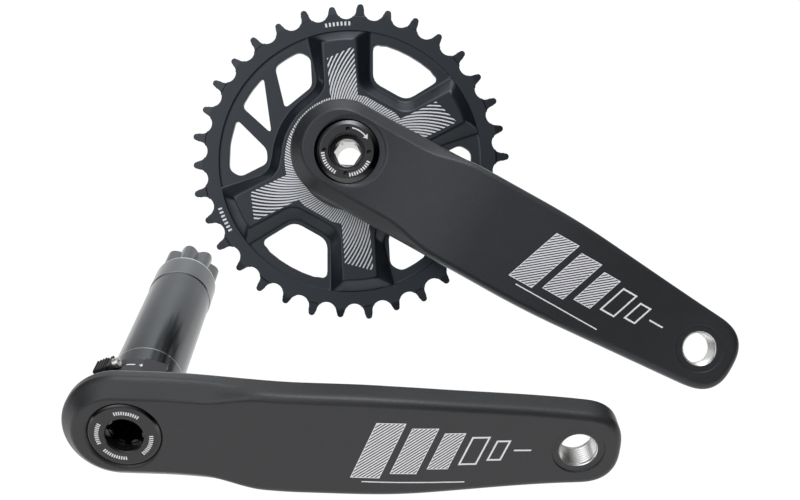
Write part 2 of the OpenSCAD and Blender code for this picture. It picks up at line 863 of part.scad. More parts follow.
module chainring() {
  color([0.16, 0.17, 0.19]) place_right() difference() {
    union() {
      tooth_ring();
      post(rim_r, web_front, web_back);
      star();
    }
    star_pockets();
    post(star_hub_r - 1, hub_back, web_back - past);
    post(ring_spigot_r + run_gap, star_top + past, web_back - past);
    chainring_bolt_places() post(ring_bolt_r + run_gap, star_top + past, web_back);
    translate([0, 0, web_back - past]) linear_extrude(web_front - web_back + 2 * past) {
      side_window();
      rotate(180) side_window();
      truss_windows();
      rotate(180) truss_windows();
    }
  }
}

bolt_socket_r = 2.2;
bolt_socket_depth = 1.4;

module chainring_bolts() {
  head_r = ring_bolt_r + 1.6;
  head_end = hub_back - 2.2;
  color([0.12, 0.12, 0.13]) place_right() chainring_bolt_places() difference() {
    union() {
      post(ring_bolt_r, ring_bolt_end, hub_back);
      post(head_r, hub_back, head_end);
    }
    translate([0, 0, head_end - past]) cylinder(r = bolt_socket_r, h = bolt_socket_depth + past, $fn = 6);
  }
}

left_arm();
spindle();
left_cap();
preload_seal();
preload_ring();
preload_pinch_bolt();
right_arm();
retaining_ring();
crank_bolt();
bolt_washer();
bolt_seal();
chainring();
chainring_bolts();
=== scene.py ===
import json
import math

import bmesh
import bpy
from mathutils import Matrix, Vector


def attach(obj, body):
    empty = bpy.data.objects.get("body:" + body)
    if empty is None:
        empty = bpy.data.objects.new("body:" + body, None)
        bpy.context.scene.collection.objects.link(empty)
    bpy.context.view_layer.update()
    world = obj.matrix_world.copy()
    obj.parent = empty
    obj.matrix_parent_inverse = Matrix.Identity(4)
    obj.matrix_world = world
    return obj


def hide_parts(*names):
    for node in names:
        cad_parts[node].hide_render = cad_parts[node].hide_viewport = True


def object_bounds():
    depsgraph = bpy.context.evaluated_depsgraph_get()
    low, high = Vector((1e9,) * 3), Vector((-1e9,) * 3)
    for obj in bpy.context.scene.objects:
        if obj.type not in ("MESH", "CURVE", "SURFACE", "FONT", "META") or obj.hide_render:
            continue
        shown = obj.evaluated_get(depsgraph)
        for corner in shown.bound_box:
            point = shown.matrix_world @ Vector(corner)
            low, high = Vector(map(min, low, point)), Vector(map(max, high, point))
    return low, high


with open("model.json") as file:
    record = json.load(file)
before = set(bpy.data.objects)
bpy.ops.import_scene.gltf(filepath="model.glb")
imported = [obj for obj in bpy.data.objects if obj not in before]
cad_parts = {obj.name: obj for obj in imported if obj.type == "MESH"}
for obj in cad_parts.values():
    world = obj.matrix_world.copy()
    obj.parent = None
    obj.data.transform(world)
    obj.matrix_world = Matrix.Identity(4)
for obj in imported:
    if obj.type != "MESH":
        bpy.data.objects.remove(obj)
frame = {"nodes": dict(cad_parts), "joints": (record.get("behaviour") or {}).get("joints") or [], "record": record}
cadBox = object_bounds()
nodes = frame["nodes"]
joints = {joint["name"]: joint for joint in frame["joints"]}
mounts = {mount["name"]: mount for mount in frame["record"]["mounts"]}
bodies = frame["record"]["behaviour"]["bodies"]
bodyOf = {node: body for body, members in bodies.items() for node in members}
mm = 0.001
print("frame loaded,", len(nodes), "pieces")


# each half has its own frame: X along its arm, Z out of the arm's face
def halfFrame(origin, along, out):
    return Matrix.Translation(origin) @ Matrix((along, out.cross(along), out)).transposed().to_4x4()


seatToFace = 0.032825
leftFrame = halfFrame(Vector((0, -seatToFace, 0)), Vector((1, 0, 0)), Vector((0, -1, 0)))
rightOut = Vector(joints["crank_bolt_turn"]["axis"]).normalized()
rightFace = Vector(joints["crank_bolt_turn"]["pos_m"])
toPedal = Vector(mounts["right_pedal_thread"]["pos_m"]) - rightFace
rightFrame = halfFrame(rightFace, (toPedal - toPedal.dot(rightOut) * rightOut).normalized(), rightOut)

# the photograph's camera, measured from the left arm's face
cameraSet = {
    "lens": 44.33,
    "from": (0.089965, -0.300404, 0.225698),
    "right": (0.99891, -0.00783, 0.04610),
    "up": (-0.03813, 0.43442, 0.89991),
}


def makeCamera():
    data = bpy.data.cameras.new("photoCamera")
    data.lens = cameraSet["lens"]
    data.sensor_width = 36
    data.clip_start = 0.01
    camera = bpy.data.objects.new("photoCamera", data)
    bpy.context.scene.collection.objects.link(camera)
    right = Vector(cameraSet["right"]).normalized()
    up = Vector(cameraSet["up"])
    up = (up - up.dot(right) * right).normalized()
    turn = Matrix((right, up, right.cross(up))).transposed().to_4x4()
    camera.matrix_world = Matrix.Translation(leftFrame.translation + Vector(cameraSet["from"])) @ turn
    bpy.context.scene.camera = camera


# shader maths as plain sums on sockets
class Wire:
    def __init__(self, tree, socket):
        self.tree = tree
        self.socket = socket

    def math(self, operation, *others):
        node = self.tree.nodes.new("ShaderNodeMath")
        node.operation = operation
        for socket, value in zip(node.inputs, (self, *others)):
            plug(self.tree, socket, value)
        return Wire(self.tree, node.outputs[0])

    def __add__(self, other):
        return self.math("ADD", other)

    def __sub__(self, other):
        return self.math("SUBTRACT", other)

    def __rsub__(self, other):
        return (self * -1).math("ADD", other)

    def __mul__(self, other):
        return self.math("MULTIPLY", other)

    def __truediv__(self, other):
        return self.math("DIVIDE", other)

    __radd__ = __add__
    __rmul__ = __mul__

    def over(self, edge):
        return self.math("GREATER_THAN", edge)

    def under(self, edge):
        return self.math("LESS_THAN", edge)

    def between(self, low, high):
        return self.over(low) * self.under(high)

    def size(self):
        return self.math("ABSOLUTE")

    def either(self, other):
        return self.math("MAXIMUM", other)

    # a soft step up from 0 to 1
    def ramp(self, low, high):
        node = self.tree.nodes.new("ShaderNodeMapRange")
        node.interpolation_type = "SMOOTHSTEP"
        for key, value in zip(("Value", "From Min", "From Max"), (self, low, high)):
            plug(self.tree, node.inputs[key], value)
        return Wire(self.tree, node.outputs[0])


def plug(tree, socket, value):
    if isinstance(value, Wire):
        tree.links.new(value.socket, socket)
    else:
        socket.default_value = value


class Finish:
    def __init__(self, name, **constants):
        self.material = bpy.data.materials.new(name)
        self.material.use_nodes = True
        self.tree = self.material.node_tree
        self.shader = self.tree.nodes["Principled BSDF"]
        self.set(**constants)

    def set(self, **values):
        for key, value in values.items():
            plug(self.tree, self.shader.inputs[key.replace("_", " ")], value)

    # any node: its type, its settings, then the values or links of its sockets
    def add(self, kind, settings, sockets, out=0):
        node = self.tree.nodes.new("ShaderNode" + kind)
        for key, value in settings.items():
            setattr(node, key, value)
        for key, value in sockets.items():
            plug(self.tree, node.inputs[key], value)
        return Wire(self.tree, node.outputs[out])

    def place(self):
        return self.add("TexCoord", {}, {}, "Object")

    # millimetres along the three axes of a half's frame
    def within(self, home):
        away = self.add("VectorMath", {"operation": "SUBTRACT"}, {0: self.place(), 1: home.translation})
        axes = [home.to_3x3().col[i] for i in range(3)]
        dot = {"operation": "DOT_PRODUCT"}
        return [self.add("VectorMath", dot, {0: away, 1: axis}, "Value") / mm for axis in axes]

    def grain(self, size, detail=2.0, stretch=(1, 1, 1)):
        spot = self.add("Mapping", {}, {"Vector": self.place(), "Scale": stretch})
        return self.add("TexNoise", {}, {"Vector": spot, "Scale": 1 / (size * mm), "Detail": detail})

    def bump(self, height, distance, strength=1.0, under=None):
        sockets = {"Height": height, "Distance": distance * mm, "Strength": strength}
        if under:
            sockets["Normal"] = under
        return self.add("Bump", {}, sockets, "Normal")

    def blend(self, share, colourA, colourB):
        mix = self.tree.nodes.new("ShaderNodeMix")
        mix.data_type = "RGBA"
        plug(self.tree, mix.inputs["Factor"], share)
        for socket, colour in zip((mix.inputs[6], mix.inputs[7]), (colourA, colourB)):
            plug(self.tree, socket, colour if isinstance(colour, Wire) else (*colour, 1))
        return Wire(self.tree, mix.outputs[2])


def mixed(share, low, high):
    return low + (high - low) * share


def radius(x, y):
    return (x * x + y * y).math("SQRT")


def turnDegrees(x, y):
    return y.math("ARCTAN2", x) * (180 / math.pi)


def polar(r, degrees):
    return Vector((r * math.cos(math.radians(degrees)), r * math.sin(math.radians(degrees))))


printWhite = (0.92, 0.91, 0.93)
bareMetal = (0.74, 0.74, 0.73)


# meshes are built in millimetres in a half's frame, then placed in the shared frame
def newPiece(name, bm, home, node, finish, replace=False, sharp=35):
    for vertex in bm.verts:
        vertex.co = home @ (vertex.co * mm)
    return showPiece(name, bm, node, finish, replace, sharp)


def showPiece(name, bm, node, finish, replace, sharp):
    bmesh.ops.recalc_face_normals(bm, faces=bm.faces)
    mesh = bpy.data.meshes.new(name)
    bm.to_mesh(mesh)
    bm.free()
    mesh.shade_smooth()
    mesh.set_sharp_from_angle(angle=math.radians(sharp))
    piece = bpy.data.objects.new(name, mesh)
    bpy.context.scene.collection.objects.link(piece)
    mesh.materials.append(finish.material)
    settle = piece.modifiers.new("settle", "WEIGHTED_NORMAL")
    settle.keep_sharp = True
    settle.weight = 100
    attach(piece, bodyOf[node])
    if replace:
        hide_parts(node)
    return piece


# the solid of a node, welded and with its flat faces whole
def cleanSolid(node):
    bm = bmesh.new()
    bm.from_mesh(nodes[node].data)
    bmesh.ops.remove_doubles(bm, verts=bm.verts, dist=0.002 * mm)
    flat = math.radians(0.4)
    bmesh.ops.dissolve_limit(
        bm, angle_limit=flat, verts=bm.verts, edges=bm.edges, use_dissolve_boundaries=False
    )
    return bm


def breakEdges(bm, edges, width, steps, clamp=True):
    bmesh.ops.bevel(
        bm, geom=edges, offset=width, offset_type="OFFSET", segments=steps, profile=0.5, affect="EDGES",
        clamp_overlap=clamp,
    )


def edgesOver(bm, degrees):
    limit = math.radians(degrees)
    return [edge for edge in bm.edges if edge.is_manifold and edge.calc_face_angle() > limit]


# distances of an edge's ends from the axis
def edgeRadii(edge):
    return [vertex.co.to_2d().length for vertex in edge.verts]


# the cleaned solid in millimetres in a half's frame
def localSolid(node, home):
    bm = cleanSolid(node)
    toLocal = home.inverted()
    for vertex in bm.verts:
        vertex.co = (toLocal @ vertex.co) / mm
    return bm


# the cleaned solid with its edges broken
def brokenEdges(name, node, finish, width, steps=2, sharp=30):
    bm = cleanSolid(node)
    breakEdges(bm, edgesOver(bm, sharp), width * mm, steps)
    return showPiece(name, bm, node, finish, True, sharp)


# a closed turned shape from (radius, height) points, both ends on the axis
def turned(points, centre=(0, 0), steps=128):
    bm = bmesh.new()
    rows = []
    for r, z in points:
        if r == 0:
            rows.append([bm.verts.new((centre[0], centre[1], z))] * steps)
        else:
            rows.append([
                bm.verts.new((centre[0] + r * math.cos(a), centre[1] + r * math.sin(a), z))
                for a in (2 * math.pi * i / steps for i in range(steps))
            ])
    for low, high in zip(rows, rows[1:]):
        for i in range(steps):
            j = (i + 1) % steps
            corners = [low[i], low[j], high[j], high[i]]
            bm.faces.new(list(dict.fromkeys(corners)))
    bmesh.ops.recalc_face_normals(bm, faces=bm.faces)
    return bm


# a plain closed cylinder between two heights
def rod(r, low, high, centre=(0, 0), steps=128):
    return turned([(0, low), (r, low), (r, high), (0, high)], centre, steps)


# a cylinder with its lower edge broken
def spigot(r, low, high, chamfer):
    return turned([(0, low), (r - chamfer, low), (r, low + chamfer), (r, high), (0, high)])


# side faces between rings with the same number of points
def stitch(bm, rings):
    count = len(rings[0])
    for high, low in zip(rings, rings[1:]):
        for i in range(count):
            j = (i + 1) % count
            bm.faces.new((high[i], low[i], low[j], high[j]))


# a closed shape through sections with the same number of points
def loft(sections):
    bm = bmesh.new()
    rings = [[bm.verts.new(point) for point in section] for section in sections]
    bm.faces.new(rings[0])
    bm.faces.new(rings[-1][::-1])
    stitch(bm, rings)
    bmesh.ops.recalc_face_normals(bm, faces=bm.faces)
    return bm


# a closed prism from an outline between two heights
def prism(outline, low, high):
    return loft([[(x, y, z) for x, y in outline] for z in (high, low)])


# joins or cuts shapes with exact booleans, in millimetres
def carve(base, joins, cuts):
    scene = bpy.context.scene
    made = []
    for bm in [base, *joins, *cuts]:
        mesh = bpy.data.meshes.new("rough")
        bm.to_mesh(mesh)
        bm.free()
        made.append(bpy.data.objects.new("rough", mesh))
        scene.collection.objects.link(made[-1])
    for count, tool in enumerate(made[1:]):
        step = made[0].modifiers.new("step", "BOOLEAN")
        step.operation = "UNION" if count < len(joins) else "DIFFERENCE"
        step.solver = "EXACT"
        step.object = tool
    shape = made[0].evaluated_get(bpy.context.evaluated_depsgraph_get())
    bm = bmesh.new()
    bm.from_mesh(shape.to_mesh())
    for rough in made:
        bpy.data.objects.remove(rough)
    return bm


# how far cuts reach past a face, and joined shapes into each other
past = 1.0
sunk = 0.5

# crank arms
armSizes = {
    "length": 170.0, "thick": 12.0, "eyeR": 22.0, "setback": 3.0, "bellyHalf": 22.1, "bellyAt": 80.0,
    "taperAt": 98.0, "taperBend": 32.0, "endHalf": 16.45, "endSquare": 2.5, "bow": 4.0, "bowStart": 12.0,
    "bowTopStart": 66.0, "bowTopEnd": 94.0, "bowEnd": 168.0, "lean": 5.6, "leanDepth": 6.0, "eyeRound": 0.8,
    "frontRound": 3.2, "backRound": 2.0, "fadeStart": 28.0, "fadeLength": 24.0, "creaseRound": 1.4,
    "eyeSteps": 56, "endSteps": 40, "sideSteps": 110, "roundSteps": 7,
}
capSizes = {"r": 13.8, "deep": 5.0, "gap": 0.05, "lip": 0.5, "flare": 0.1, "edge": 0.2}
leftDish = {"wide": 1.4, "deep": 0.9, "shift": 0.0, "towards": 0.0}
rightDish = {"wide": 2.2, "deep": 0.8, "shift": 2.0, "towards": 26.5}
pedalSizes = {
    "r": 7.0, "seatR": 10.0, "seatDeep": 0.6, "chamfer": 0.3, "pitch": 1.27, "ridge": 0.5, "seatRound": 0.3,
    "lipRound": 0.25, "threadGap": 0.3, "bareOver": 0.05,
}
ridgeShape = {"foot": 0.42, "crest": 0.08, "sunk": 0.04, "least": 0.02}
leftSizes = {
    "spigotR": 16.0, "spigotEnd": -19.0, "chamfer": 0.4, "pressR": 13.02, "pressTop": -1.0,
    "tint": (0.98, 0.98, 1.0),
}
rightSizes = {
    "bossR": 23.0, "bossTop": -18.7, "bossFoot": -27.7, "neckR": 19.5, "spigotR": 16.5, "spigotEnd": -37.9,
    "headR": 10.15, "headEnd": -14.2, "shankR": 7.95, "socketTop": -17.2, "lobes": 8, "crestR": 13.75,
    "lobeR": 2.75, "rootR": 11.95, "boltAt": 20.7, "boltR": 2.02, "boltEnd": -19.7, "chamfer": 0.4,
    "bossChamfer": 0.5, "neckTop": -11.0, "holeTop": -4.0, "tint": (0.88, 0.93, 1.0),
}


def smooth(t):
    t = min(max(t, 0), 1)
    return t * t * (3 - 2 * t)


def roundIn(depth, r):
    return r - math.sqrt(r * r - (r - depth) ** 2) if depth < r else 0


# distance beyond a bend, rising smoothly through it
def beyond(run, bend):
    half = bend / 2
    if run < -half:
        return 0
    return run if run > half else (run + half) ** 2 / (4 * half)


def taperSlope():
    a = armSizes
    return (a["bellyHalf"] - a["endHalf"]) / (a["length"] - a["taperAt"])


def armHalfWidth(x):
    a = armSizes
    full = a["eyeR"] + (a["bellyHalf"] - a["eyeR"]) * smooth(x / a["bellyAt"])
    return full - taperSlope() * beyond(x - a["taperAt"], a["taperBend"])


# height at x and a depth below the face, with the bow between spindle and pedal
def armHeight(x, depth):
    a = armSizes
    rise = smooth((x - a["bowStart"]) / (a["bowTopStart"] - a["bowStart"]))
    fall = smooth((x - a["bowTopEnd"]) / (a["bowEnd"] - a["bowTopEnd"]))
    return rise * (1 - fall) * a["bow"] - depth


# reach at an angle of a rounded square with half width 1
def squared(angle, power):
    return (abs(math.cos(angle)) ** power + abs(math.sin(angle)) ** power) ** (-1 / power)


# how far the outline stands back at x and a depth below the face
def armInset(x, depth):
    a = armSizes
    blur = a["creaseRound"]
    run = a["leanDepth"] - depth
    soft = 0 if run < -blur else (run if run > blur else (run + blur) ** 2 / (4 * blur))
    eyeWall = a["lean"] * soft / a["leanDepth"] + roundIn(depth, a["eyeRound"])
    eyeShare = 1 - smooth((x - a["fadeStart"]) / a["fadeLength"])
    front = roundIn(depth, a["frontRound"])
    return front + (eyeWall - front) * eyeShare + roundIn(a["thick"] - depth, a["backRound"])


def armOutline(depth):
    a = armSizes
    taper = math.atan(taperSlope())
    arcR = a["endHalf"] * math.cos(taper)
    sideEnd = a["length"] + arcR * math.sin(taper)
    side = []
    for i in range(1, a["sideSteps"]):
        x = -a["setback"] + (sideEnd + a["setback"]) * i / a["sideSteps"]
        side.append((x, armHalfWidth(x) - armInset(x, depth)))
    eyeR = a["eyeR"] - armInset(0, depth)
    endR = arcR - armInset(a["length"], depth)
    eye = [math.pi * (0.5 + i / a["eyeSteps"]) for i in range(a["eyeSteps"] + 1)]
    end = [math.pi * (i / a["endSteps"] - 0.5) for i in range(a["endSteps"] + 1)]
    share = 1 - 2 * taper / math.pi
    points = [(-a["setback"] + eyeR * math.cos(t), eyeR * math.sin(t)) for t in eye]
    points += [(x, -y) for x, y in side]
    for t in end:
        reach = endR * squared(t, a["endSquare"])
        points.append((a["length"] + reach * math.cos(t * share), reach * math.sin(t * share)))
    return points + side[::-1]


def armBlank():
    a = armSizes
    steps = a["roundSteps"]
    turns = [1 - math.cos(math.pi / 2 * i / steps) for i in range(steps + 1)]
    depths = {a["frontRound"] * t for t in turns} | {a["eyeRound"] * t for t in turns}
    depths |= {a["leanDepth"] + a["creaseRound"] * (i / 3 - 1) for i in range(7)}
    depths |= {a["thick"] - a["backRound"] * t for t in turns}
    bm = bmesh.new()
    rings = [[bm.verts.new((x, y, armHeight(x, d))) for x, y in armOutline(d)] for d in sorted(depths)]
    count = len(rings[0])
    tip = a["eyeSteps"] // 2
    for ring in (rings[0], rings[-1]):
        for k in range(count // 2):
            corners = [ring[i % count] for i in (tip - k, tip - k - 1, tip + k + 1, tip + k)]
            bm.faces.new(list(dict.fromkeys(corners)))
    stitch(bm, rings)
    bmesh.ops.recalc_face_normals(bm, faces=bm.faces)
    return bm


def arc(centreR, centreZ, r, start, end, steps=6):
    angles = [math.radians(start + (end - start) * i / steps) for i in range(steps + 1)]
    return [(centreR + r * math.cos(t), centreZ + r * math.sin(t)) for t in angles]


# the cap's well, with a shallow dish round its mouth
def capSeat(dish):
    c = capSizes
    wall = c["r"] + c["gap"]
    towards = math.radians(dish["towards"])
    centre = (dish["shift"] * math.cos(towards), dish["shift"] * math.sin(towards))
    shares = (0.0, 0.15, 0.35, 0.55, 0.75, 0.9)
    slope = [(wall + dish["wide"] * t, -dish["deep"] * (1 - t) ** 2) for t in shares]
    rim = (wall + dish["wide"] + c["flare"], c["lip"])
    bowl = turned([(0, -dish["deep"]), *slope, rim, (0, c["lip"])], centre)
    return [rod(wall, -c["deep"], c["lip"]), bowl]


def pedalCut():
    p = pedalSizes
    back = -armSizes["thick"]
    mouth = -p["seatDeep"]
    wide = p["r"] + p["chamfer"]
    inner = p["seatRound"]
    outer = p["lipRound"]
    points = [(0, back - past), (wide + past, back - past), (p["r"], back + p["chamfer"])]
    points += [(p["r"], mouth - p["chamfer"]), (wide, mouth), (p["seatR"] - inner, mouth)]
    points += arc(p["seatR"] - inner, mouth + inner, inner, -90, 0, 4)
    points += arc(p["seatR"] + outer, -outer, outer, 180, 90, 4)
    return turned([*points, (p["seatR"] + outer, past), (0, past)], (armSizes["length"], 0))


# a helical ridge on the wall of a hole
def thread(r, ridge, pitch, top, bottom, centre=(0, 0), steps=64):
    s = ridgeShape
    foot = r + s["sunk"]
    bm = bmesh.new()
    turns = (top - bottom) / pitch
    rows = []
    for i in range(int(turns * steps) + 1):
        a = 2 * math.pi * i / steps
        z = top - pitch * i / steps
        taper = min(1, i / steps * 2, (turns - i / steps) * 2)
        deep = r - ridge * max(taper, s["least"])
        shape = [(foot, s["foot"]), (deep, s["crest"]), (deep, -s["crest"]), (foot, -s["foot"])]
        rows.append([
            bm.verts.new((centre[0] + q * math.cos(a), centre[1] + q * math.sin(a), z + pitch * h))
            for q, h in shape
        ])
    count = len(rows[0])
    for one, two in zip(rows, rows[1:]):
        for i in range(count):
            j = (i + 1) % count
            bm.faces.new((one[i], one[j], two[j], two[i]))
    bm.faces.new(rows[0])
    bm.faces.new(rows[-1][::-1])
    return bm


# the lobed socket in the right arm
def lobedOutline():
    s = rightSizes
    points = []
    for i in range(360):
        t = math.radians(i)
        turn = 2 * math.pi / s["lobes"]
        near = (t + turn / 2) % turn - turn / 2
        middle = s["crestR"] - s["lobeR"]
        inside = s["lobeR"] ** 2 - (middle * math.sin(near)) ** 2
        lobe = middle * math.cos(near) + math.sqrt(inside) if inside > 0 else 0
        r = max(s["rootR"], lobe)
        points.append((r * math.cos(t), r * math.sin(t)))
    return points


# a plain print for the arm's face: slanting bars that step down, hatched, then open, and two rules
# skin is how far below the face it still shows
printSet = {
    "slant": 0.36, "line": 0.56, "pitch": 1.3, "lean": -0.8, "edge": 0.75, "thin": 0.3,
    "hatched": [(89, 100, 12.6), (103, 113, 10.4), (116, 124, 8.2)],
    "open": [(127, 134, 6.4), (137, 142.5, 4.6)],
    "rules": [(145.5, 152, -0.35, 0.35), (94, 133, -14.6, -14.1)], "skin": 0.3,
}


def faceBow(u):
    a = armSizes
    return u.ramp(a["bowStart"], a["bowTopStart"]) * (1 - u.ramp(a["bowTopEnd"], a["bowEnd"])) * a["bow"]


def armPrint(u, v, w):
    p = printSet
    across = u - v * p["slant"]
    stripe = ((u * p["lean"] + v) / p["pitch"]).math("FRACT").under(p["line"])
    shown = None
    for left, right, half in p["hatched"]:
        bar = across.between(left, right) * v.size().under(half)
        rim = bar - across.between(left + p["thin"], right - p["thin"]) * v.size().under(half - p["thin"])
        bar = (bar * stripe).either(rim)
        shown = shown.either(bar) if shown else bar
    for left, right, half in p["open"]:
        outer = across.between(left, right) * v.size().under(half)
        inner = across.between(left + p["edge"], right - p["edge"]) * v.size().under(half - p["edge"])
        shown = shown.either(outer - inner)
    for left, right, low, high in p["rules"]:
        shown = shown.either(across.between(left, right) * v.between(low, high))
    return shown * (w - faceBow(u)).over(-p["skin"])


def armFinish(name, home, tint):
    finish = Finish(name, IOR=1.5, Specular_Tint=(*tint, 1))
    u, v, w = finish.within(home)
    fine = finish.grain(0.7, 3)
    cloud = finish.grain(9, 3)
    bore = radius(u - armSizes["length"], v)
    bare = bore.under(pedalSizes["r"] + pedalSizes["chamfer"] + pedalSizes["bareOver"])
    ink = armPrint(u, v, w)
    black = finish.blend(cloud, (0.020, 0.0205, 0.0220), (0.026, 0.0265, 0.0280))
    colour = finish.blend(ink, black, printWhite)
    finish.set(
        Base_Color=finish.blend(bare, colour, bareMetal),
        Metallic=bare,
        Roughness=mixed(bare, mixed(ink, mixed(fine, 0.31, 0.43), 0.45), 0.24),
        Normal=finish.bump(fine, 0.09, 1.0),
    )
    return finish


def makeLeftArm():
    s = leftSizes
    stub = spigot(s["spigotR"], s["spigotEnd"], sunk - armSizes["thick"], s["chamfer"])
    press = rod(s["pressR"], s["spigotEnd"] - past, s["pressTop"])
    shape = carve(armBlank(), [stub], [*capSeat(leftDish), press, pedalCut()])
    finish = armFinish("leftArmBlack", leftFrame, s["tint"])
    newPiece("leftArm", shape, leftFrame, "left_arm", finish, True)


def makeRightArm():
    s = rightSizes
    foot = s["bossFoot"]
    chamfer = s["bossChamfer"]
    boss = turned([
        (0, foot), (s["bossR"] - chamfer, foot), (s["bossR"], foot + chamfer), (s["bossR"], s["bossTop"]),
        (s["neckR"], s["neckTop"]), (0, s["neckTop"]),
    ])
    stub = spigot(s["spigotR"], s["spigotEnd"], foot + sunk, s["chamfer"])
    head = rod(s["headR"], s["headEnd"], s["holeTop"])
    shank = rod(s["shankR"], s["socketTop"] - past, s["holeTop"])
    socket = prism(lobedOutline(), s["spigotEnd"] - past, s["socketTop"])
    places = [polar(s["boltAt"], 90 + 120 * i) for i in range(3)]
    holes = [rod(s["boltR"], foot - past, s["boltEnd"], place, 32) for place in places]
    cuts = [*capSeat(rightDish), head, shank, socket, pedalCut(), *holes]
    shape = carve(armBlank(), [boss, stub], cuts)
    finish = armFinish("rightArmBlack", rightFrame, s["tint"])
    newPiece("rightArm", shape, rightFrame, "right_arm", finish, True)


def makeThreads():
    p = pedalSizes
    bright = Finish("threadMetal", Metallic=1.0)
    rub = bright.grain(4, 2)
    bright.set(
        Base_Color=bright.blend(rub, (0.72, 0.71, 0.69), (0.82, 0.81, 0.79)),
        Roughness=mixed(rub, 0.28, 0.34),
    )
    top = -p["seatDeep"] - p["chamfer"] - p["threadGap"]
    bottom = -armSizes["thick"] + p["chamfer"] + p["threadGap"]
    pieces = (("leftPedalThread", leftFrame, "left_arm"), ("rightPedalThread", rightFrame, "right_arm"))
    for name, home, node in pieces:
        coil = thread(p["r"], p["ridge"], p["pitch"], top, bottom, (armSizes["length"], 0))
        newPiece(name, coil, home, node, bright, sharp=20)


# chainring
ringSizes = {
    "starTop": -27.7, "webFront": -33.3, "rimR": 59.82, "edge": 0.4, "hubR": 31.0, "flat": 30.2, "run": 4.5,
    "endRun": 5.3, "near": (47.2, 41.5), "far": (64.0, 69.0), "crotch": (41.0, 38.0), "crotchX": (12.0, 9.6),
    "crotchRise": 2.6, "hubEnd": 28.0, "reach": (4.0, 5.0), "topRound": 1.6, "footRound": 1.2, "sink": 0.25,
    "hollowR": 30.0, "hubBack": -32.9, "boreR": 16.55, "boltAt": 20.7, "boltR": 2.05, "pocketTop": -30.9,
    "pocketR": (34.0, 51.52), "pocketNear": (47.0, 50.0), "pocketFar": (63.0, 61.0), "pocketReach": 2.5,
    "seam": (0.03, 0.02), "toothClear": 0.5, "windowClear": 1.5, "upright": 0.2, "boltEdge": 0.25,
    "hubSteps": 10, "hubStep": 2.5, "lathe": 9,
}
starInk = {
    "armDeg": (55.6, 124.4), "half": 6.2, "end": 48.6, "cut": 0.35, "hubR": 29.2, "hubFlat": 28.3,
    "turnPitch": 0.42, "runPitch": 0.36, "thick": 0.6, "thin": 0.4, "thinFrom": 30,
    "tickR": (62.0, 63.8), "ticks": ((119.0, 130.0), (-131.0, -120.0)), "tickPitch": 0.62,
    "tickShare": 0.5, "starSkin": 0.1, "rimSkin": 0.3,
}


# a spiral hatch over the star's top, and ticks on the rim
def starPrint(u, v, w):
    s = starInk
    r = radius(u, v)
    shown = r.under(s["hubR"]) * v.size().under(s["hubFlat"])
    for degrees in s["armDeg"]:
        c, k = math.cos(math.radians(degrees)), math.sin(math.radians(degrees))
        along = (u * c + v * k).size()
        across = v * c - u * k
        arm = across.size().under(s["half"]) * (along + across * s["cut"]).under(s["end"])
        shown = shown.either(arm)
    turn = turnDegrees(u, v)
    width = mixed(r.ramp(s["thinFrom"], s["end"]), s["thick"], s["thin"])
    stripe = (turn * s["turnPitch"] + r * s["runPitch"]).math("FRACT").under(width)
    ink = shown * stripe * w.over(ringSizes["starTop"] - s["starSkin"])
    onRim = r.between(*s["tickR"]) * w.over(ringSizes["webFront"] - s["rimSkin"])
    tick = (turn * s["tickPitch"]).math("FRACT").under(s["tickShare"]) * onRim
    for start, end in s["ticks"]:
        ink = ink.either(tick * turn.between(start, end))
    return ink


# a curve that cuts the corner at b
def bend(a, b, c, reach, steps=9):
    p = b + reach * (a - b).normalized()
    q = b + reach * (c - b).normalized()
    return [p.lerp(b, t).lerp(b.lerp(q, t), t) for t in (i / steps for i in range(steps + 1))]


# the star's outline, at its top for level 0 and at its foot for level 1
def starOutline(level):
    s = ringSizes
    hub = s["hubR"] + s["run"] * level
    flat = s["flat"] + s["run"] * level
    end = s["rimR"] - s["endRun"] * (1 - level)
    pairs = (s["near"], s["far"], s["crotch"], s["crotchX"])
    near, far, crotchDeg, crotchX = [a + (b - a) * level for a, b in pairs]
    crotch = polar(hub + s["crotchRise"], crotchDeg)
    quarter = [polar(hub, s["hubStep"] * i) for i in range(s["hubSteps"] + 1)]
    quarter += bend(polar(hub, s["hubEnd"]), crotch, polar(end, near), s["reach"][0])
    quarter += [polar(end, near + (far - near) * i / 6) for i in range(7)]
    quarter += bend(polar(end, far), Vector((crotchX, flat)), Vector((0, flat)), s["reach"][1])
    half = quarter + [Vector((-p.x, p.y)) for p in quarter[::-1]]
    return half + [-p for p in half[1:-1]]


